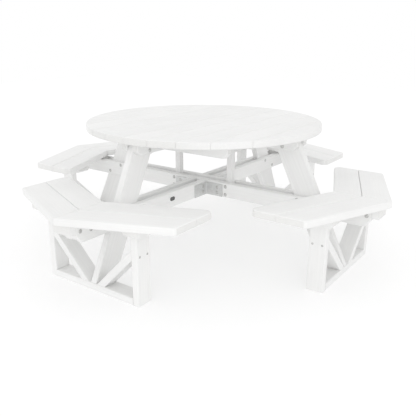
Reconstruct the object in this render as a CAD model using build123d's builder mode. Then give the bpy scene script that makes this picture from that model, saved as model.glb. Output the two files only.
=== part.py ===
from build123d import *
import os
from math import cos, radians, tan

# Round picnic table with four mitred V benches, built from white plastic lumber.
# It stands on the floor with its centre at the origin and +Z up. The long slats
# of the top run along X. Two double beams cross under the top, one along X and
# one along Y, and each of the four beam ends carries one leg and one bench.

# Lumber
LUMBER_THICKNESS = 38.0
PLANK_WIDTH = 143.0
STUD_WIDTH = 89.0
RAIL_DEPTH = 64.0
BOARD_GAP = 1.5
EDGE_ROUNDING = 6.0
SMALL_EDGE_ROUNDING = 5.0
HALF_BOARD = LUMBER_THICKNESS / 2
SIDE_BOARD_CENTRE = HALF_BOARD + LUMBER_THICKNESS / 2
SIDE_BOARD_FACE = SIDE_BOARD_CENTRE + HALF_BOARD

# Table top
TABLE_HEIGHT = 745.0
TOP_RADIUS = 700.0
TOP_EDGE_ROUNDING = 6.0
SLATS_PER_HALF = 5
SLAT_PITCH = PLANK_WIDTH + BOARD_GAP
TOP_UNDERSIDE = TABLE_HEIGHT - LUMBER_THICKNESS

# Rails and battens under the slats
RAIL_UNDERSIDE = TOP_UNDERSIDE - RAIL_DEPTH
RAIL_REACH = 655.0
RAIL_CLIP = 26.0
CROSS_BATTEN_FACE = 445.0
CROSS_BATTEN_REACH = 465.0

# Beams
BEAM_TOP = 390.0
BEAM_BOTTOM = BEAM_TOP - STUD_WIDTH
BEAM_REACH = 1086.0
BEAM_CLIP_ALONG = 32.0
BEAM_CLIP_UP = 42.0

# Legs: each leans inward by LEG_SLOPE for every millimetre of height
LEG_SLOPE = 0.485
LEG_FOOT_HEIGHT = LUMBER_THICKNESS
LEG_FOOT_CENTRE = 877.2
LEG_WIDTH = 140.0
LEG_HALF_SPAN = LEG_WIDTH * (1 + LEG_SLOPE**2) ** 0.5 / 2
LEG_TOP_CENTRE = LEG_FOOT_CENTRE - LEG_SLOPE * (TOP_UNDERSIDE - LEG_FOOT_HEIGHT)

# Posts between the Y beam and the top
CENTRE_POST_DISTANCE = 197.0
CENTRE_POST_SIZE = 38.0

# Steel angles in the four corners where the beams cross
BRACKET_THICKNESS = 6.0
BRACKET_HEIGHT = 76.0
BRACKET_BOTTOM = BEAM_BOTTOM + 2.0
BRACKET_REACH = 177.0
BRACKET_BEND = 4.0
BRACKET_FACE = SIDE_BOARD_FACE + BRACKET_THICKNESS

# Benches
SEAT_HEIGHT = 445.0
SEAT_UNDERSIDE = SEAT_HEIGHT - LUMBER_THICKNESS
SEAT_APEX = 1166.0
SEAT_SLOPE = tan(radians(22.5))
SEAT_BOARD_RUN = PLANK_WIDTH / cos(radians(22.5))
SEAT_GAP_RUN = BOARD_GAP / cos(radians(22.5))
SEAT_HALF_SPAN = 530.0
SEAT_MITRE_HALF_GAP = 0.6
SEAT_INNER_CORNER = 35.0
SEAT_OUTER_CORNER = 20.0
SEAT_BLOCK_START = 870.0
SEAT_BLOCK_END = 1084.0
SEAT_BLOCK_BOTTOM = BEAM_BOTTOM + 4.0
END_BLOCK_BOTTOM = 352.0

# Bench frames
FRAME_OUTER = 960.0
FRAME_INNER = FRAME_OUTER - STUD_WIDTH
FRAME_CENTRE = (FRAME_OUTER + FRAME_INNER) / 2
POST_OUTER_FACE = 314.0
POST_INNER_FACE = POST_OUTER_FACE - LUMBER_THICKNESS
POST_CENTRE = (POST_OUTER_FACE + POST_INNER_FACE) / 2
SEAT_BATTEN_UNDERSIDE = SEAT_UNDERSIDE - LUMBER_THICKNESS
SEAT_BATTEN_START = 746.0
SEAT_BATTEN_END = 1008.0
SEAT_BATTEN_CHAMFER = 12.0
BRACE_FOOT = 28.0
BRACE_FOOT_WIDTH = LUMBER_THICKNESS * 2**0.5

# Fasteners
BOLT_DIAMETER = 10.0
BOLT_HOLE = 10.6
BOLT_HEAD_DIAMETER = 22.0
BOLT_HEAD_HEIGHT = 5.5
BOLT_TAIL = 13.0
ROD_POINT = 1.0
NUT_ACROSS_FLATS = 15.0
NUT_FLANGE_DIAMETER = 21.0
NUT_FLANGE_HEIGHT = 2.5
NUT_HEIGHT = 10.0
SCREW_DIAMETER = 5.0
SCREW_HOLE = 5.2
SCREW_LENGTH = 62.0
SCREW_HEAD_DIAMETER = 12.0
SCREW_HEAD_HEIGHT = 3.5

# Oval cap
PLUG_LENGTH = 40.0
PLUG_WIDTH = 22.0
PLUG_CAP_HEIGHT = 3.0
PLUG_EDGE_ROUNDING = 1.5
PLUG_STEM_DIAMETER = 8.0
PLUG_STEM_LENGTH = 14.0
PLUG_HOLE = 8.4
PLUG_HOLE_DEPTH = 16.0

# Bolt centres: distance along the beam from the table's centre, and height
LEG_BEAM_BOLTS = [(669.0, 375.0), (772.0, 323.0)]
LEG_RAIL_BOLTS = [(563.0, 660.0), (526.0, 688.0)]
SEAT_BLOCK_BOLTS = [(996.0, 354.0), (1062.0, 362.0)]
POST_BEAM_BOLTS = [(CENTRE_POST_DISTANCE, 368.0), (CENTRE_POST_DISTANCE, 319.0)]
POST_RAIL_BOLTS = [(CENTRE_POST_DISTANCE, 675.0)]
X_BRACKET_BOLTS = [(98.0, 358.0), (98.0, 325.0)]
Y_BRACKET_BOLTS = [(142.0, 358.0), (142.0, 325.0)]

# Screw centres on each post: distance along the beam, and height
BRACE_SCREWS = [(889.0, 254.0), (941.0, 254.0)]

# Screw centres under each runner: distance along the beam, and to either side of it
RUNNER_SCREWS = [(889.0, 64.0), (941.0, 64.0), (889.0, -64.0), (941.0, -64.0)]
RUNNER_SCREW_SEAT = 4.5
RUNNER_SCREW_RECESS = 13.0

# The oval cap on the outer face of the west arm's south board
PLUG_SIDE = "west"
PLUG_BOARD = "south"
PLUG_CENTRE = (385.0, 351.0)

# The four sides of the table, by the turn about Z from +X
SIDE_TURNS = {"east": 0.0, "north": 90.0, "west": 180.0, "south": 270.0}
X_BEAM_SIDES = ("east", "west")
Y_BEAM_SIDES = ("north", "south")
ARM_DIRECTIONS = {"left": 1, "right": -1}
Z_UP = Vector(0, 0, 1)


def outward(side):
    """Unit vector from the table's centre out along one beam arm."""
    return Vector(1, 0, 0).rotate(Axis.Z, SIDE_TURNS[side])


def across(side):
    """Unit vector across a beam, the same way for both of its arms."""
    if side in X_BEAM_SIDES:
        return Vector(0, 1, 0)
    return Vector(1, 0, 0)


def level_plane(side, height=0.0):
    """Level plane with X out along the beam arm and Y along the bench."""
    return Plane(origin=(0, 0, height), x_dir=outward(side), z_dir=(0, 0, 1))


def beam_plane(side, offset=0.0):
    """Upright plane with X out along the beam arm and Y up."""
    normal = outward(side).cross(Z_UP)
    return Plane(origin=across(side) * offset, x_dir=outward(side), z_dir=normal)


def bench_plane(side, distance):
    """Upright plane facing outward, with X along the bench and Y up."""
    out = outward(side)
    return Plane(origin=out * distance, x_dir=Z_UP.cross(out), z_dir=out)


def save(piece, label):
    """Label a finished piece and write its STEP file."""
    piece.part.label = label
    export_step(piece.part, f"parts/{label}.step")


def soften(piece, plane, radius):
    """Round the outlines of the flat faces that are parallel to a plane."""
    fillet(piece.faces().filter_by(plane).edges(), radius=radius)


def drill(plane, centres, diameter, depth):
    """Bore round holes in the current piece, both ways from a plane."""
    with BuildSketch(plane) as holes:
        with Locations(*centres):
            Circle(diameter / 2)
    extrude(holes.sketch, amount=depth, both=True, mode=Mode.SUBTRACT)


def both_ends(centres):
    """The same centres at both ends of a board that spans the table."""
    return centres + [(-along, height) for along, height in centres]


def add_outline(plane, corners, depth, both=False):
    """Extrude a closed outline from a plane into the current piece."""
    with BuildSketch(plane) as outline:
        with BuildLine():
            Polyline(*corners, close=True)
        make_face()
    extrude(outline.sketch, amount=depth, both=both)


def build_slat(label, index):
    """One slat of the round top: a strip of the disc with rounded edges."""
    with BuildPart() as slat:
        with BuildSketch(Plane.XY.offset(TOP_UNDERSIDE)):
            Circle(TOP_RADIUS)
            with Locations((0, (index + 0.5) * SLAT_PITCH)):
                Rectangle(2 * TOP_RADIUS, PLANK_WIDTH, mode=Mode.INTERSECT)
        extrude(amount=LUMBER_THICKNESS)
        fillet(slat.faces().sort_by(Axis.Z)[-1].edges(), radius=TOP_EDGE_ROUNDING)
        fillet(slat.faces().sort_by(Axis.Z)[0].edges(), radius=SMALL_EDGE_ROUNDING)
    save(slat, label)


def rail_corners(start, end):
    """Side outline of a rail on edge, its lower corners clipped at both ends."""
    return [
        (start + RAIL_CLIP, RAIL_UNDERSIDE),
        (end - RAIL_CLIP, RAIL_UNDERSIDE),
        (end, RAIL_UNDERSIDE + RAIL_CLIP),
        (end, TOP_UNDERSIDE),
        (start, TOP_UNDERSIDE),
        (start, RAIL_UNDERSIDE + RAIL_CLIP),
    ]


def build_long_rails():
    """Two rails along Y that hold the legs and the centre posts at the top."""
    holes = both_ends(LEG_RAIL_BOLTS + POST_RAIL_BOLTS)
    with BuildPart() as rails:
        for offset in (SIDE_BOARD_CENTRE, -SIDE_BOARD_CENTRE):
            corners = rail_corners(-RAIL_REACH, RAIL_REACH)
            add_outline(beam_plane("north", offset), corners, HALF_BOARD, both=True)
        soften(rails, Plane.YZ, SMALL_EDGE_ROUNDING)
        drill(Plane.YZ, holes, BOLT_HOLE, SIDE_BOARD_FACE)
    save(rails, "long_top_rails")


def build_short_rails():
    """Four rails along X, from the cross battens out past the legs."""
    with BuildPart() as rails:
        for side in X_BEAM_SIDES:
            for offset in (SIDE_BOARD_CENTRE, -SIDE_BOARD_CENTRE):
                corners = [
                    (CROSS_BATTEN_FACE, RAIL_UNDERSIDE),
                    (RAIL_REACH - RAIL_CLIP, RAIL_UNDERSIDE),
                    (RAIL_REACH, RAIL_UNDERSIDE + RAIL_CLIP),
                    (RAIL_REACH, TOP_UNDERSIDE),
                    (CROSS_BATTEN_FACE, TOP_UNDERSIDE),
                ]
                add_outline(beam_plane(side, offset), corners, HALF_BOARD, both=True)
        soften(rails, Plane.XZ, SMALL_EDGE_ROUNDING)
        for side in X_BEAM_SIDES:
            drill(beam_plane(side), LEG_RAIL_BOLTS, BOLT_HOLE, SIDE_BOARD_FACE)
    save(rails, "short_top_rails")


def build_cross_battens():
    """Two battens on edge along Y that tie the slats of each half together."""
    with BuildPart() as battens:
        for side in X_BEAM_SIDES:
            corners = rail_corners(-CROSS_BATTEN_REACH, CROSS_BATTEN_REACH)
            plane = bench_plane(side, CROSS_BATTEN_FACE)
            add_outline(plane, corners, -LUMBER_THICKNESS)
        soften(battens, Plane.YZ, SMALL_EDGE_ROUNDING)
    save(battens, "cross_battens")


def build_leg(side):
    """A splayed leg: one plank on edge from the bench runner to the top."""
    corners = [
        (LEG_FOOT_CENTRE - LEG_HALF_SPAN, LEG_FOOT_HEIGHT),
        (LEG_FOOT_CENTRE + LEG_HALF_SPAN, LEG_FOOT_HEIGHT),
        (LEG_TOP_CENTRE + LEG_HALF_SPAN, TOP_UNDERSIDE),
        (LEG_TOP_CENTRE - LEG_HALF_SPAN, TOP_UNDERSIDE),
    ]
    with BuildPart() as leg:
        add_outline(beam_plane(side), corners, HALF_BOARD, both=True)
        soften(leg, beam_plane(side), EDGE_ROUNDING)
        drill(beam_plane(side), LEG_BEAM_BOLTS + LEG_RAIL_BOLTS, BOLT_HOLE, LUMBER_THICKNESS)
    save(leg, f"{side}_leg")


def build_x_beam_board(side, name, offset):
    """A board of the X beam, from the Y beam's face to the bench."""
    corners = [
        (SIDE_BOARD_FACE, BEAM_BOTTOM),
        (BEAM_REACH - BEAM_CLIP_ALONG, BEAM_BOTTOM),
        (BEAM_REACH, BEAM_BOTTOM + BEAM_CLIP_UP),
        (BEAM_REACH, BEAM_TOP),
        (SIDE_BOARD_FACE, BEAM_TOP),
    ]
    holes = LEG_BEAM_BOLTS + SEAT_BLOCK_BOLTS + X_BRACKET_BOLTS
    with BuildPart() as board:
        add_outline(beam_plane(side, offset), corners, HALF_BOARD, both=True)
        soften(board, beam_plane(side), EDGE_ROUNDING)
        drill(beam_plane(side), holes, BOLT_HOLE, SIDE_BOARD_FACE)
        if (side, name) == (PLUG_SIDE, PLUG_BOARD):
            face = beam_plane(side, -SIDE_BOARD_FACE)
            drill(face, [PLUG_CENTRE], PLUG_HOLE, PLUG_HOLE_DEPTH)
    save(board, f"{side}_beam_{name}_board")


def build_y_beam_board(name, offset):
    """A board of the Y beam, in one length from bench to bench."""
    corners = [
        (-BEAM_REACH, BEAM_BOTTOM + BEAM_CLIP_UP),
        (-BEAM_REACH + BEAM_CLIP_ALONG, BEAM_BOTTOM),
        (BEAM_REACH - BEAM_CLIP_ALONG, BEAM_BOTTOM),
        (BEAM_REACH, BEAM_BOTTOM + BEAM_CLIP_UP),
        (BEAM_REACH, BEAM_TOP),
        (-BEAM_REACH, BEAM_TOP),
    ]
    holes = LEG_BEAM_BOLTS + SEAT_BLOCK_BOLTS + Y_BRACKET_BOLTS + POST_BEAM_BOLTS
    with BuildPart() as board:
        add_outline(beam_plane("north", offset), corners, HALF_BOARD, both=True)
        soften(board, Plane.YZ, EDGE_ROUNDING)
        drill(beam_plane("north"), both_ends(holes), BOLT_HOLE, SIDE_BOARD_FACE)
    save(board, f"long_beam_{name}_board")


def build_centre_posts():
    """Two square posts from the Y beam up between the long rails."""
    with BuildPart() as posts:
        with BuildSketch(Plane.XY.offset(BEAM_BOTTOM)):
            with Locations((0, CENTRE_POST_DISTANCE), (0, -CENTRE_POST_DISTANCE)):
                Rectangle(CENTRE_POST_SIZE, CENTRE_POST_SIZE)
        extrude(amount=TOP_UNDERSIDE - BEAM_BOTTOM)
        fillet(posts.edges().filter_by(Axis.Z), radius=SMALL_EDGE_ROUNDING)
        holes = both_ends(POST_BEAM_BOLTS + POST_RAIL_BOLTS)
        drill(Plane.YZ, holes, BOLT_HOLE, CENTRE_POST_SIZE)
    save(posts, "centre_posts")


def build_corner_brackets():
    """Four bent steel angles bolted into the corners of the crossing."""
    with BuildPart() as brackets:
        with BuildSketch(Plane.XY.offset(BRACKET_BOTTOM)) as plan:
            for x_sign in (1, -1):
                for y_sign in (1, -1):
                    corners = [
                        (SIDE_BOARD_FACE, SIDE_BOARD_FACE),
                        (BRACKET_REACH, SIDE_BOARD_FACE),
                        (BRACKET_REACH, BRACKET_FACE),
                        (BRACKET_FACE, BRACKET_FACE),
                        (BRACKET_FACE, BRACKET_REACH),
                        (SIDE_BOARD_FACE, BRACKET_REACH),
                    ]
                    with BuildLine():
                        Polyline(*[(x * x_sign, y * y_sign) for x, y in corners], close=True)
                    make_face()
            by_radius = plan.vertices().group_by(lambda vertex: vertex.center().length)
            fillet(by_radius[0], radius=BRACKET_BEND + BRACKET_THICKNESS)
            inner = plan.vertices().filter_by(
                lambda vertex: abs(vertex.X) == abs(vertex.Y) and abs(vertex.X) > SIDE_BOARD_FACE
            )
            fillet(inner, radius=BRACKET_BEND)
        extrude(amount=BRACKET_HEIGHT)
        drill(Plane.XZ, both_ends(X_BRACKET_BOLTS), BOLT_HOLE, BRACKET_REACH)
        drill(Plane.YZ, both_ends(Y_BRACKET_BOLTS), BOLT_HOLE, BRACKET_REACH)
    save(brackets, "corner_brackets")


def build_seat_blocks():
    """Fillers in the beam ends and blocks across them, under the mitre joints."""
    end_block_centre = BEAM_REACH + LUMBER_THICKNESS / 2
    with BuildPart() as blocks:
        for side in SIDE_TURNS:
            corners = [
                (SEAT_BLOCK_START, SEAT_BLOCK_BOTTOM),
                (SEAT_BLOCK_END - BEAM_CLIP_ALONG, SEAT_BLOCK_BOTTOM),
                (SEAT_BLOCK_END, SEAT_BLOCK_BOTTOM + BEAM_CLIP_UP),
                (SEAT_BLOCK_END, SEAT_UNDERSIDE),
                (SEAT_BLOCK_START, SEAT_UNDERSIDE),
            ]
            add_outline(beam_plane(side), corners, HALF_BOARD, both=True)
            drill(beam_plane(side), SEAT_BLOCK_BOLTS, BOLT_HOLE, LUMBER_THICKNESS)
            with BuildSketch(level_plane(side, END_BLOCK_BOTTOM)):
                with Locations((end_block_centre, 0)):
                    Rectangle(LUMBER_THICKNESS, 2 * SIDE_BOARD_FACE)
            extrude(amount=SEAT_UNDERSIDE - END_BLOCK_BOTTOM)
    save(blocks, "seat_blocks")


def build_seat_board(side, arm, row):
    """One board of a V bench: mitred at the middle, rounded at its free end."""
    direction = ARM_DIRECTIONS[arm]
    outer_edge = SEAT_APEX if row == "outer" else SEAT_APEX - SEAT_BOARD_RUN - SEAT_GAP_RUN
    inner_edge = outer_edge - SEAT_BOARD_RUN
    near = SEAT_MITRE_HALF_GAP
    far = SEAT_HALF_SPAN
    corners = [
        (inner_edge - SEAT_SLOPE * near, near * direction),
        (outer_edge - SEAT_SLOPE * near, near * direction),
        (outer_edge - SEAT_SLOPE * far, far * direction),
        (inner_edge - SEAT_SLOPE * far, far * direction),
    ]
    rounded = corners[2] if row == "outer" else corners[3]
    rounding = SEAT_OUTER_CORNER if row == "outer" else SEAT_INNER_CORNER
    with BuildPart() as board:
        with BuildSketch(level_plane(side, SEAT_UNDERSIDE)) as outline:
            with BuildLine():
                Polyline(*corners, close=True)
            make_face()
            fillet(outline.vertices().sort_by_distance((*rounded, 0))[0], radius=rounding)
        extrude(amount=LUMBER_THICKNESS)
        fillet(board.faces().sort_by(Axis.Z)[-1].edges(), radius=TOP_EDGE_ROUNDING)
        fillet(board.faces().sort_by(Axis.Z)[0].edges(), radius=SMALL_EDGE_ROUNDING)
    save(board, f"{side}_bench_{arm}_{row}_board")


def build_seat_battens():
    """Eight flat battens, one on every bench post, under the seat boards."""
    length = SEAT_BATTEN_END - SEAT_BATTEN_START
    along = SEAT_BATTEN_START + length / 2
    over_post = POST_INNER_FACE + STUD_WIDTH / 2
    with BuildPart() as battens:
        for side in SIDE_TURNS:
            with BuildSketch(level_plane(side, SEAT_BATTEN_UNDERSIDE)):
                with Locations((along, over_post), (along, -over_post)):
                    Rectangle(length, STUD_WIDTH)
            extrude(amount=LUMBER_THICKNESS)
        bottom_edges = battens.edges().group_by(Axis.Z)[0]
        ends = bottom_edges.filter_by(lambda edge: edge.length < length / 2)
        chamfer(ends, length=SEAT_BATTEN_CHAMFER)
        soften(battens, Plane.XY, SMALL_EDGE_ROUNDING)
    save(battens, "seat_battens")


def build_bench_posts(side):
    """The two upright posts of one bench."""
    with BuildPart() as posts:
        with BuildSketch(level_plane(side)):
            with Locations((FRAME_CENTRE, POST_CENTRE), (FRAME_CENTRE, -POST_CENTRE)):
                Rectangle(STUD_WIDTH, LUMBER_THICKNESS)
        extrude(amount=SEAT_BATTEN_UNDERSIDE)
        soften(posts, beam_plane(side), SMALL_EDGE_ROUNDING)
        drill(beam_plane(side), BRACE_SCREWS, SCREW_HOLE, POST_OUTER_FACE)
    save(posts, f"{side}_bench_posts")


def build_bench_braces(side):
    """Two 45 degree braces from the runner's middle up to the posts."""
    rise = POST_INNER_FACE - BRACE_FOOT
    with BuildPart() as braces:
        for direction in ARM_DIRECTIONS.values():
            corners = [
                (direction * BRACE_FOOT, LUMBER_THICKNESS),
                (direction * (BRACE_FOOT + BRACE_FOOT_WIDTH), LUMBER_THICKNESS),
                (direction * POST_INNER_FACE, LUMBER_THICKNESS + rise - BRACE_FOOT_WIDTH),
                (direction * POST_INNER_FACE, LUMBER_THICKNESS + rise),
            ]
            add_outline(bench_plane(side, FRAME_INNER), corners, STUD_WIDTH)
        soften(braces, bench_plane(side, 0), SMALL_EDGE_ROUNDING)
        drill(beam_plane(side), BRACE_SCREWS, SCREW_HOLE, POST_OUTER_FACE)
        drill(level_plane(side), RUNNER_SCREWS, SCREW_HOLE, RUNNER_SCREW_SEAT + SCREW_LENGTH)
    save(braces, f"{side}_bench_braces")


def build_bench_runner(side):
    """The flat runner on the floor between the two posts of one bench."""
    with BuildPart() as runner:
        with BuildSketch(level_plane(side)):
            with Locations((FRAME_CENTRE, 0)):
                Rectangle(STUD_WIDTH, 2 * POST_INNER_FACE)
        extrude(amount=LUMBER_THICKNESS)
        soften(runner, Plane.XY, SMALL_EDGE_ROUNDING)
        drill(level_plane(side), RUNNER_SCREWS, SCREW_HOLE, LUMBER_THICKNESS)
        drill(level_plane(side), RUNNER_SCREWS, RUNNER_SCREW_RECESS, RUNNER_SCREW_SEAT)
    save(runner, f"{side}_bench_runner")


def add_headed_rod(seat, direction, diameter, length, head_diameter, head_height):
    """Add a bolt or screw: a domed head on its seat and a rod along direction."""
    upright = abs(direction.Z) > 0.5
    radial = Vector(1, 0, 0) if upright else Z_UP
    profile = Plane(origin=seat, x_dir=radial, z_dir=radial.cross(direction))
    head_radius = head_diameter / 2
    radius = diameter / 2
    with BuildSketch(profile) as half_section:
        with BuildLine():
            TangentArc((0, -head_height), (head_radius, 0), tangent=(1, 0))
            Polyline(
                (head_radius, 0),
                (radius, 0),
                (radius, length - ROD_POINT),
                (radius - ROD_POINT, length),
                (0, length),
                (0, -head_height),
            )
        make_face()
    revolve(half_section.sketch, axis=Axis(seat, direction))


def add_nut(seat, direction):
    """Add a flanged hexagon nut that stands on its seat."""
    plane = Plane(origin=seat, x_dir=Z_UP, z_dir=direction)
    with BuildSketch(plane) as flange:
        Circle(NUT_FLANGE_DIAMETER / 2)
        Circle(BOLT_HOLE / 2, mode=Mode.SUBTRACT)
    extrude(flange.sketch, amount=NUT_FLANGE_HEIGHT)
    with BuildSketch(plane.offset(NUT_FLANGE_HEIGHT)) as hexagon:
        RegularPolygon(NUT_ACROSS_FLATS / 2, 6, major_radius=False)
        Circle(BOLT_HOLE / 2, mode=Mode.SUBTRACT)
    extrude(hexagon.sketch, amount=NUT_HEIGHT - NUT_FLANGE_HEIGHT)


def joint_points(side, centres, face):
    """Points on a joint's first face, one for each bolt centre."""
    start = across(side) * -face
    return [outward(side) * along + Z_UP * height + start for along, height in centres]


def through_bolt_seats():
    """Head seat and direction of every bolt that crosses a double board joint."""
    seats = []
    for side in SIDE_TURNS:
        centres = LEG_BEAM_BOLTS + LEG_RAIL_BOLTS + SEAT_BLOCK_BOLTS
        if side in Y_BEAM_SIDES:
            centres = centres + POST_BEAM_BOLTS + POST_RAIL_BOLTS
        for point in joint_points(side, centres, SIDE_BOARD_FACE):
            seats.append((point, across(side)))
    return seats


def bracket_bolt_seats():
    """Head seat and direction of every bolt that clamps two steel angles."""
    seats = []
    for side in SIDE_TURNS:
        centres = X_BRACKET_BOLTS if side in X_BEAM_SIDES else Y_BRACKET_BOLTS
        for point in joint_points(side, centres, BRACKET_FACE):
            seats.append((point, across(side)))
    return seats


def build_bolts(label, seats, grip):
    """One group of equal bolts, each as its own solid."""
    with BuildPart() as bolts:
        for seat, direction in seats:
            add_headed_rod(
                seat, direction, BOLT_DIAMETER, grip + BOLT_TAIL, BOLT_HEAD_DIAMETER, BOLT_HEAD_HEIGHT
            )
    save(bolts, label)


def build_nuts():
    """The nuts of all bolts, each as its own solid."""
    with BuildPart() as nuts:
        for seat, direction in through_bolt_seats():
            add_nut(seat + direction * 2 * SIDE_BOARD_FACE, direction)
        for seat, direction in bracket_bolt_seats():
            add_nut(seat + direction * 2 * BRACKET_FACE, direction)
    save(nuts, "bolt_nuts")


def build_plug():
    """A plain oval cap pushed into the face of one beam board."""
    face = beam_plane(PLUG_SIDE, -SIDE_BOARD_FACE)
    with BuildPart() as plug:
        with BuildSketch(face):
            with Locations(PLUG_CENTRE):
                SlotOverall(PLUG_LENGTH, PLUG_WIDTH)
        extrude(amount=-PLUG_CAP_HEIGHT)
        fillet(plug.faces().sort_by(Axis.Y)[0].edges(), radius=PLUG_EDGE_ROUNDING)
        with BuildSketch(face):
            with Locations(PLUG_CENTRE):
                Circle(PLUG_STEM_DIAMETER / 2)
        extrude(amount=PLUG_STEM_LENGTH)
    save(plug, "beam_plug")


def build_frame_screws():
    """Screws through the posts into the braces, and up through the runners."""
    sizes = (SCREW_DIAMETER, SCREW_LENGTH, SCREW_HEAD_DIAMETER, SCREW_HEAD_HEIGHT)
    with BuildPart() as screws:
        for side in SIDE_TURNS:
            for inward in (across(side), -across(side)):
                for along, height in BRACE_SCREWS:
                    seat = outward(side) * along + Z_UP * height - inward * POST_OUTER_FACE
                    add_headed_rod(seat, inward, *sizes)
            for along, sideways in RUNNER_SCREWS:
                seat = outward(side) * along + across(side) * sideways
                add_headed_rod(seat + Z_UP * RUNNER_SCREW_SEAT, Z_UP, *sizes)
    save(screws, "frame_screws")


os.makedirs("parts", exist_ok=True)

for slat_index in range(-SLATS_PER_HALF, SLATS_PER_HALF):
    build_slat(f"top_slat_{slat_index + SLATS_PER_HALF + 1:02d}", slat_index)
build_long_rails()
build_short_rails()
build_cross_battens()
build_centre_posts()
build_corner_brackets()
build_seat_blocks()
build_seat_battens()
for board_name, board_offset in (("east", SIDE_BOARD_CENTRE), ("west", -SIDE_BOARD_CENTRE)):
    build_y_beam_board(board_name, board_offset)
for beam_side in X_BEAM_SIDES:
    build_x_beam_board(beam_side, "north", SIDE_BOARD_CENTRE)
    build_x_beam_board(beam_side, "south", -SIDE_BOARD_CENTRE)
for table_side in SIDE_TURNS:
    build_leg(table_side)
    build_bench_posts(table_side)
    build_bench_braces(table_side)
    build_bench_runner(table_side)
    for bench_arm in ARM_DIRECTIONS:
        build_seat_board(table_side, bench_arm, "inner")
        build_seat_board(table_side, bench_arm, "outer")
build_bolts("through_bolts", through_bolt_seats(), 2 * SIDE_BOARD_FACE)
build_bolts("bracket_bolts", bracket_bolt_seats(), 2 * BRACKET_FACE)
build_nuts()
build_plug()
build_frame_screws()
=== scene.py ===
import math
import random

import bpy
from mathutils import Matrix, Vector


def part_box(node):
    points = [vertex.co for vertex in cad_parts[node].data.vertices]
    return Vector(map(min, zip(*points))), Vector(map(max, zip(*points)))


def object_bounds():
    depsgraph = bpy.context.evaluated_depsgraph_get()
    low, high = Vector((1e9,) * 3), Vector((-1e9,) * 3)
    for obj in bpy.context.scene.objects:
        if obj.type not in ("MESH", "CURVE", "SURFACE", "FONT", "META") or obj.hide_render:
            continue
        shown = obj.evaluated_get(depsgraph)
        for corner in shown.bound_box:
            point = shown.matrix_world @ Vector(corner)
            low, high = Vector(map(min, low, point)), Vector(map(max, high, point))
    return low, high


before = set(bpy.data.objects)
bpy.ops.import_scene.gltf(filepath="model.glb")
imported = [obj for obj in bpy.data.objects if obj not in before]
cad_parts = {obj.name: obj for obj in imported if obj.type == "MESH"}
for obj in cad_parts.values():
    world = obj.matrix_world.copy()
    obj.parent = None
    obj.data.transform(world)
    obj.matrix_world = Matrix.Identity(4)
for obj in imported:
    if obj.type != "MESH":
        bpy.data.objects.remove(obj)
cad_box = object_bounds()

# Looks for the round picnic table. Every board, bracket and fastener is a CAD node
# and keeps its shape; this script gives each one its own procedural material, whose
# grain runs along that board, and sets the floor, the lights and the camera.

SEED = 4417

# Directions of the four beam arms, in the row's frame
ARMS = {
    "east": Vector((1.0, 0.0, 0.0)),
    "north": Vector((0.0, 1.0, 0.0)),
    "west": Vector((-1.0, 0.0, 0.0)),
    "south": Vector((0.0, -1.0, 0.0)),
}
X_AXIS = Vector((1.0, 0.0, 0.0))
Y_AXIS = Vector((0.0, 1.0, 0.0))
Z_AXIS = Vector((0.0, 0.0, 1.0))
SEAT_ARM_ANGLE = math.radians(22.5)

# Level width of a splayed leg, in metres
LEG_PLANK_RUN = 0.155

# White lumber
LUMBER_COLOUR = (0.87, 0.87, 0.863)
LUMBER_TINT_SPREAD = 0.012
LUMBER_ROUGHNESS = (0.42, 0.62)
CUT_END_COLOUR = (0.82, 0.818, 0.805)
LUMBER_SHEEN = 0.42
GRAIN_DEPTH = 0.00035
GRAIN_STRENGTH = 0.55

# Metals and plastic
BOLT_COLOUR = (0.60, 0.60, 0.59)
BOLT_ROUGHNESS = (0.28, 0.42)
BOLT_SCRATCH_SCALE = 420.0
SCREW_COLOUR = (0.62, 0.62, 0.61)
SCREW_ROUGHNESS = (0.3, 0.45)
SCREW_SCRATCH_SCALE = 800.0
ZINC_COLOUR = (0.70, 0.705, 0.70)
ZINC_METALLIC = 0.6
ZINC_ROUGHNESS = (0.42, 0.62)
CAP_COLOUR = (0.10, 0.10, 0.098)
CAP_ROUGHNESS = (0.32, 0.5)

# Studio: metres and watts, and directions out from the table
FLOOR_MARGIN = 9.0
FLOOR_COLOUR = (0.60, 0.60, 0.60)
FLOOR_GLOW = 0.42
FLOOR_ROUGHNESS = 0.9
FLOOR_SHEEN = 0.1
WHITE = (1.0, 1.0, 1.0, 1.0)
WORLD_STRENGTH = 1.0
KEY_DIRECTION = Vector((-1.0, -0.25, 0.55))
KEY_POWER = 9.0
KEY_SIZE = 4.0
KEY_DISTANCE = 6.5
FILL_DIRECTION = Vector((-0.78, -0.57, 0.26))
FILL_POWER = 20.0
FILL_SIZE = 3.0
FILL_DISTANCE = 6.0

# Camera, fitted to the view: degrees, metres and a 36 mm wide sensor
CAMERA_AZIMUTH = -54.77
CAMERA_PITCH = 17.79
CAMERA_ROLL = 0.33
CAMERA_PLACE = Vector((-2.5973, -1.8801, 1.2463))
CAMERA_LENS = 45.83
CAMERA_SHIFT_X = -0.005
CAMERA_SHIFT_Y = -0.013
SENSOR_WIDTH = 36.0


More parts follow.
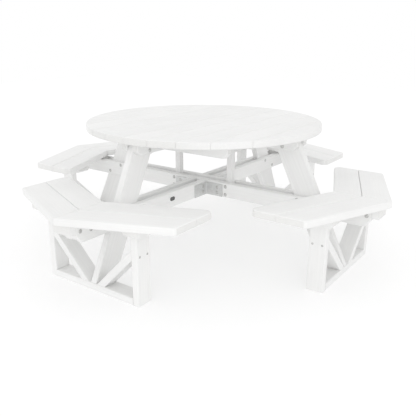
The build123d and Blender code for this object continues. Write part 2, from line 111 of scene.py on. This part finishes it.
class Nodes:
    """A material's node tree, with short calls to add and link its nodes."""

    def __init__(self, name):
        self.material = bpy.data.materials.new(name)
        self.material.use_nodes = True
        self.tree = self.material.node_tree
        self.tree.nodes.clear()
        self.shader = self.tree.nodes.new("ShaderNodeBsdfPrincipled")
        output = self.tree.nodes.new("ShaderNodeOutputMaterial")
        self.link(self.shader.outputs["BSDF"], output.inputs["Surface"])

    def link(self, source, target):
        self.tree.links.new(source, target)

    def feed(self, socket, value):
        """Link a socket to another, or set it to a plain value."""
        if isinstance(value, bpy.types.NodeSocket):
            self.link(value, socket)
        else:
            socket.default_value = value

    def place(self):
        """The point in the row's frame, in metres."""
        return self.tree.nodes.new("ShaderNodeTexCoord").outputs["Object"]

    def normal(self):
        return self.tree.nodes.new("ShaderNodeNewGeometry").outputs["Normal"]

    def math(self, operation, first, second=0.0):
        node = self.tree.nodes.new("ShaderNodeMath")
        node.operation = operation
        self.feed(node.inputs[0], first)
        self.feed(node.inputs[1], second)
        return node.outputs[0]

    def vector(self, operation, first, second):
        node = self.tree.nodes.new("ShaderNodeVectorMath")
        node.operation = operation
        self.feed(node.inputs[0], first)
        self.feed(node.inputs[1], second)
        return node.outputs["Value" if operation == "DOT_PRODUCT" else "Vector"]

    def split(self, vector):
        node = self.tree.nodes.new("ShaderNodeSeparateXYZ")
        self.link(vector, node.inputs[0])
        return node.outputs

    def join(self, x, y, z):
        node = self.tree.nodes.new("ShaderNodeCombineXYZ")
        for socket, value in zip(node.inputs, (x, y, z)):
            self.feed(socket, value)
        return node.outputs[0]

    def noise(self, vector, scale, detail=3.0, roughness=0.5):
        node = self.tree.nodes.new("ShaderNodeTexNoise")
        self.link(vector, node.inputs["Vector"])
        node.inputs["Scale"].default_value = scale
        node.inputs["Detail"].default_value = detail
        node.inputs["Roughness"].default_value = roughness
        return node.outputs["Fac"]

    def span(self, value, low, high, new_low, new_high, smooth=False):
        """Map one range of values to another, held inside the new range."""
        node = self.tree.nodes.new("ShaderNodeMapRange")
        node.interpolation_type = "SMOOTHSTEP" if smooth else "LINEAR"
        self.link(value, node.inputs["Value"])
        for name, number in zip(("From Min", "From Max", "To Min", "To Max"), (low, high, new_low, new_high)):
            node.inputs[name].default_value = number
        return node.outputs["Result"]

    def mix(self, factor, first, second):
        node = self.tree.nodes.new("ShaderNodeMix")
        node.data_type = "RGBA"
        colours = [socket for socket in node.inputs if socket.type == "RGBA"]
        self.feed(node.inputs["Factor"], factor)
        for socket, value in zip(colours, (first, second)):
            self.feed(socket, (*value, 1.0) if isinstance(value, tuple) else value)
        return [socket for socket in node.outputs if socket.type == "RGBA"][0]

    def bump(self, height, strength, distance):
        node = self.tree.nodes.new("ShaderNodeBump")
        node.inputs["Strength"].default_value = strength
        node.inputs["Distance"].default_value = distance
        self.link(height, node.inputs["Height"])
        self.link(node.outputs["Normal"], self.shader.inputs["Normal"])


def board_frame(along):
    """Two unit vectors across a board that lies along a direction."""
    along = along.normalized()
    reference = Z_AXIS if abs(along.z) < 0.9 else X_AXIS
    side = reference.cross(along).normalized()
    return side, along.cross(side).normalized()


def straight_grain(along):
    """Board coordinates for a node whose boards all lie along one direction."""

    def coordinates(nodes):
        side, up = board_frame(along)
        place = nodes.place()
        return nodes.join(
            nodes.vector("DOT_PRODUCT", place, tuple(along.normalized())),
            nodes.vector("DOT_PRODUCT", place, tuple(side)),
            nodes.vector("DOT_PRODUCT", place, tuple(up)),
        ), nodes.vector("DOT_PRODUCT", nodes.normal(), tuple(along.normalized()))

    return coordinates


def arm_grain():
    """Board coordinates for short boards that lie along all four beam arms."""

    def coordinates(nodes):
        place = nodes.split(nodes.place())
        normal = nodes.split(nodes.normal())
        on_x = nodes.math("GREATER_THAN", nodes.math("ABSOLUTE", place[0]), nodes.math("ABSOLUTE", place[1]))
        on_y = nodes.math("SUBTRACT", 1.0, on_x)

        def pick(first, second):
            x_part = nodes.math("MULTIPLY", on_x, first)
            y_part = nodes.math("MULTIPLY", on_y, second)
            return nodes.math("ADD", x_part, y_part)

        along = pick(place[0], place[1])
        side = pick(place[1], place[0])
        return nodes.join(along, side, place[2]), pick(normal[0], normal[1])

    return coordinates


def brace_grain(arm):
    """Board coordinates for the pair of 45 degree braces of one bench."""

    def coordinates(nodes):
        bench_line = tuple(Z_AXIS.cross(ARMS[arm]))
        place = nodes.place()
        across = nodes.vector("DOT_PRODUCT", place, bench_line)
        reach = nodes.math("ABSOLUTE", across)
        height = nodes.split(place)[2]
        normal = nodes.normal()
        normal_on_line = nodes.vector("DOT_PRODUCT", normal, bench_line)
        normal_across = nodes.math("MULTIPLY", normal_on_line, nodes.math("SIGN", across))
        normal_up = nodes.split(normal)[2]
        half = math.sqrt(0.5)
        along = nodes.math("MULTIPLY", nodes.math("ADD", reach, height), half)
        thick = nodes.math("MULTIPLY", nodes.math("SUBTRACT", reach, height), half)
        depth = nodes.vector("DOT_PRODUCT", place, tuple(ARMS[arm]))
        facing = nodes.math("MULTIPLY", nodes.math("ADD", normal_across, normal_up), half)
        return nodes.join(along, depth, thick), facing

    return coordinates


def lumber(name, coordinates, dice):
    """White plastic lumber: brushed grain along the board and sawn cut ends."""
    nodes = Nodes(name)
    board, facing = coordinates(nodes)
    shift = tuple(dice.uniform(-9.0, 9.0) for _ in range(3))
    tint = 1.0 + dice.uniform(-LUMBER_TINT_SPREAD, LUMBER_TINT_SPREAD)
    colour = tuple(channel * tint for channel in LUMBER_COLOUR)

    moved = nodes.vector("ADD", board, shift)
    streaks = nodes.noise(nodes.vector("MULTIPLY", moved, (2.2, 95.0, 95.0)), 1.0, 5.0, 0.62)
    hairs = nodes.noise(nodes.vector("MULTIPLY", moved, (9.0, 520.0, 520.0)), 1.0, 2.0, 0.5)
    clouds = nodes.noise(moved, 3.4, 2.0, 0.5)
    pores = nodes.noise(moved, 640.0, 2.0, 0.6)
    saw = nodes.noise(nodes.vector("MULTIPLY", moved, (1.0, 60.0, 900.0)), 1.0, 3.0, 0.6)
    cut = nodes.span(nodes.math("ABSOLUTE", facing), 0.82, 0.93, 0.0, 1.0, smooth=True)

    shade = nodes.span(streaks, 0.30, 0.70, 0.972, 1.014)
    shade = nodes.math("MULTIPLY", shade, nodes.span(clouds, 0.35, 0.65, 0.982, 1.012))
    shade = nodes.math("MULTIPLY", shade, nodes.span(hairs, 0.32, 0.68, 0.985, 1.008))
    grained = nodes.vector("MULTIPLY", nodes.join(shade, shade, shade), colour)
    sawn = nodes.span(saw, 0.3, 0.7, 0.93, 1.02)
    cut_face = nodes.vector("MULTIPLY", nodes.join(sawn, sawn, sawn), CUT_END_COLOUR)
    nodes.link(nodes.mix(cut, grained, cut_face), nodes.shader.inputs["Base Color"])

    low, high = LUMBER_ROUGHNESS
    polish = nodes.span(streaks, 0.3, 0.7, low, high)
    worn = nodes.span(pores, 0.3, 0.7, -0.05, 0.05)
    nodes.link(nodes.math("ADD", polish, worn), nodes.shader.inputs["Roughness"])
    nodes.shader.inputs["Specular IOR Level"].default_value = LUMBER_SHEEN

    relief = nodes.math("ADD", nodes.math("MULTIPLY", streaks, 0.9), nodes.math("MULTIPLY", hairs, 0.35))
    relief = nodes.math("ADD", relief, nodes.math("MULTIPLY", pores, 0.10))
    sawn_relief = nodes.math("MULTIPLY", saw, 1.3)
    whole = nodes.math("MULTIPLY", relief, nodes.math("SUBTRACT", 1.0, cut))
    height = nodes.math("ADD", whole, nodes.math("MULTIPLY", sawn_relief, cut))
    nodes.bump(height, GRAIN_STRENGTH, GRAIN_DEPTH)
    return nodes.material


def stainless(name, colour, roughness, scratch_scale):
    """Satin stainless steel with fine random scratches and duller patches."""
    nodes = Nodes(name)
    place = nodes.place()
    patches = nodes.noise(place, 55.0, 3.0, 0.6)
    scratches = nodes.noise(nodes.vector("MULTIPLY", place, (1.0, 1.0, 7.0)), scratch_scale, 3.0, 0.6)
    dulled = nodes.span(patches, 0.3, 0.7, 0.84, 1.06)
    scratched = nodes.span(scratches, 0.3, 0.7, 0.93, 1.04)
    shade = nodes.math("MULTIPLY", dulled, scratched)
    steel = nodes.vector("MULTIPLY", nodes.join(shade, shade, shade), colour)
    nodes.link(steel, nodes.shader.inputs["Base Color"])
    nodes.shader.inputs["Metallic"].default_value = 1.0
    low, high = roughness
    nodes.link(nodes.span(scratches, 0.3, 0.7, low, high), nodes.shader.inputs["Roughness"])
    nodes.bump(scratches, 0.25, 0.0001)
    return nodes.material


def galvanised(name):
    """Dull zinc on bent steel: flat crystal patches, a grey bloom and small pits."""
    nodes = Nodes(name)
    place = nodes.place()
    cells = nodes.tree.nodes.new("ShaderNodeTexVoronoi")
    nodes.link(place, cells.inputs["Vector"])
    cells.inputs["Scale"].default_value = 130.0
    spangle = nodes.split(cells.outputs["Color"])[0]
    bloom = nodes.noise(place, 26.0, 4.0, 0.6)
    pits = nodes.noise(place, 900.0, 2.0, 0.5)
    crystals = nodes.span(spangle, 0.0, 1.0, 0.95, 1.03)
    greyed = nodes.span(bloom, 0.3, 0.7, 0.9, 1.05)
    shade = nodes.math("MULTIPLY", crystals, greyed)
    zinc = nodes.vector("MULTIPLY", nodes.join(shade, shade, shade), ZINC_COLOUR)
    nodes.link(zinc, nodes.shader.inputs["Base Color"])
    nodes.shader.inputs["Metallic"].default_value = ZINC_METALLIC
    nodes.link(nodes.span(bloom, 0.3, 0.7, *ZINC_ROUGHNESS), nodes.shader.inputs["Roughness"])
    nodes.bump(nodes.math("ADD", nodes.math("MULTIPLY", pits, 0.5), spangle), 0.2, 0.0001)
    return nodes.material


def dark_plastic(name):
    """Moulded dark grey plastic with a fine texture and lighter rubbed spots."""
    nodes = Nodes(name)
    place = nodes.place()
    stipple = nodes.noise(place, 1500.0, 2.0, 0.6)
    rubs = nodes.noise(place, 160.0, 3.0, 0.6)
    shade = nodes.span(rubs, 0.35, 0.7, 0.9, 1.25)
    colour = nodes.vector("MULTIPLY", nodes.join(shade, shade, shade), CAP_COLOUR)
    nodes.link(colour, nodes.shader.inputs["Base Color"])
    nodes.link(nodes.span(stipple, 0.3, 0.7, *CAP_ROUGHNESS), nodes.shader.inputs["Roughness"])
    nodes.bump(stipple, 0.3, 0.00015)
    return nodes.material


def dress(node, material):
    """Give a CAD node one material in place of its packed ones."""
    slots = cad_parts[node].data.materials
    slots.clear()
    slots.append(material)


def leg_direction(arm):
    """The line of a splayed leg, from its foot up to the top, from the CAD box."""
    low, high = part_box(f"{arm}_leg")
    rise = high.z - low.z
    reach = (high - low).dot(Vector((abs(ARMS[arm].x), abs(ARMS[arm].y), 0.0)))
    return (Z_AXIS * rise - ARMS[arm] * (reach - LEG_PLANK_RUN)).normalized()


def seat_direction(arm, hand):
    """The line of one half of a V bench, from its mitre to its free end."""
    along_bench = Z_AXIS.cross(ARMS[arm]) * (1.0 if hand == "left" else -1.0)
    return along_bench * math.cos(SEAT_ARM_ANGLE) - ARMS[arm] * math.sin(SEAT_ARM_ANGLE)


def lumber_plan():
    """The grain of every white node, by name."""
    plan = {name: straight_grain(X_AXIS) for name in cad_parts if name.startswith("top_slat_")}
    plan["long_top_rails"] = straight_grain(Y_AXIS)
    plan["cross_battens"] = straight_grain(Y_AXIS)
    plan["short_top_rails"] = straight_grain(X_AXIS)
    plan["centre_posts"] = straight_grain(Z_AXIS)
    plan["seat_battens"] = arm_grain()
    plan["seat_blocks"] = arm_grain()
    for board in ("east", "west"):
        plan[f"long_beam_{board}_board"] = straight_grain(Y_AXIS)
    for arm in ("east", "west"):
        for board in ("north", "south"):
            plan[f"{arm}_beam_{board}_board"] = straight_grain(X_AXIS)
    for arm in ARMS:
        plan[f"{arm}_leg"] = straight_grain(leg_direction(arm))
        plan[f"{arm}_bench_posts"] = straight_grain(Z_AXIS)
        plan[f"{arm}_bench_runner"] = straight_grain(Z_AXIS.cross(ARMS[arm]))
        plan[f"{arm}_bench_braces"] = brace_grain(arm)
        for hand in ("left", "right"):
            for row in ("inner", "outer"):
                plan[f"{arm}_bench_{hand}_{row}_board"] = straight_grain(seat_direction(arm, hand))
    return plan


def dress_everything():
    dice = random.Random(SEED)
    for name, grain in sorted(lumber_plan().items()):
        dress(name, lumber(f"lumber_{name}", grain, dice))
    bolt_steel = stainless("bolt_steel", BOLT_COLOUR, BOLT_ROUGHNESS, BOLT_SCRATCH_SCALE)
    for name in ("through_bolts", "bracket_bolts", "bolt_nuts"):
        dress(name, bolt_steel)
    screw_steel = stainless("screw_steel", SCREW_COLOUR, SCREW_ROUGHNESS, SCREW_SCRATCH_SCALE)
    dress("frame_screws", screw_steel)
    dress("corner_brackets", galvanised("galvanised_steel"))
    dress("beam_plug", dark_plastic("dark_plastic"))


def add_floor():
    """A plain pale floor that glows a little, as a white studio sweep does."""
    low, high = cad_box
    mesh = bpy.data.meshes.new("floor")
    corners = [
        (low[0] - FLOOR_MARGIN, low[1] - FLOOR_MARGIN, low[2]),
        (high[0] + FLOOR_MARGIN, low[1] - FLOOR_MARGIN, low[2]),
        (high[0] + FLOOR_MARGIN, high[1] + FLOOR_MARGIN, low[2]),
        (low[0] - FLOOR_MARGIN, high[1] + FLOOR_MARGIN, low[2]),
    ]
    mesh.from_pydata(corners, [], [(0, 1, 2, 3)])
    floor = bpy.data.objects.new("floor", mesh)
    bpy.context.scene.collection.objects.link(floor)
    nodes = Nodes("studio_floor")
    nodes.shader.inputs["Base Color"].default_value = (*FLOOR_COLOUR, 1.0)
    nodes.shader.inputs["Roughness"].default_value = FLOOR_ROUGHNESS
    nodes.shader.inputs["Specular IOR Level"].default_value = FLOOR_SHEEN
    nodes.shader.inputs["Emission Color"].default_value = WHITE
    nodes.shader.inputs["Emission Strength"].default_value = FLOOR_GLOW
    mesh.materials.append(nodes.material)


def add_world():
    world = bpy.data.worlds.new("studio")
    world.use_nodes = True
    background = world.node_tree.nodes["Background"]
    background.inputs["Color"].default_value = WHITE
    background.inputs["Strength"].default_value = WORLD_STRENGTH
    bpy.context.scene.world = world


def add_area_light(name, direction, distance, size, power):
    """A square soft light that faces the middle of the table."""
    low, high = cad_box
    middle = (Vector(low) + Vector(high)) / 2
    data = bpy.data.lights.new(name, "AREA")
    data.shape = "SQUARE"
    data.size = size
    data.energy = power
    lamp = bpy.data.objects.new(name, data)
    direction = direction.normalized()
    lamp.location = middle + direction * distance
    lamp.rotation_euler = direction.to_track_quat("Z", "Y").to_euler()
    bpy.context.scene.collection.objects.link(lamp)


def add_camera():
    azimuth = math.radians(CAMERA_AZIMUTH)
    pitch = math.radians(CAMERA_PITCH)
    roll = math.radians(CAMERA_ROLL)
    level = Vector((-math.sin(azimuth), math.cos(azimuth), 0.0))
    right = Vector((math.cos(azimuth), math.sin(azimuth), 0.0))
    forward = level * math.cos(pitch) - Z_AXIS * math.sin(pitch)
    up = level * math.sin(pitch) + Z_AXIS * math.cos(pitch)
    rolled_right = right * math.cos(roll) + up * math.sin(roll)
    rolled_up = up * math.cos(roll) - right * math.sin(roll)
    data = bpy.data.cameras.new("camera")
    data.sensor_width = SENSOR_WIDTH
    data.lens = CAMERA_LENS
    data.shift_x = CAMERA_SHIFT_X
    data.shift_y = CAMERA_SHIFT_Y
    camera = bpy.data.objects.new("camera", data)
    turn = Matrix((rolled_right, rolled_up, -forward)).transposed().to_4x4()
    camera.matrix_world = Matrix.Translation(CAMERA_PLACE) @ turn
    bpy.context.scene.collection.objects.link(camera)
    bpy.context.scene.camera = camera


dress_everything()
add_floor()
add_world()
add_area_light("key", KEY_DIRECTION, KEY_DISTANCE, KEY_SIZE, KEY_POWER)
add_area_light("fill", FILL_DIRECTION, FILL_DISTANCE, FILL_SIZE, FILL_POWER)
add_camera()
bpy.context.scene.view_settings.view_transform = "Standard"
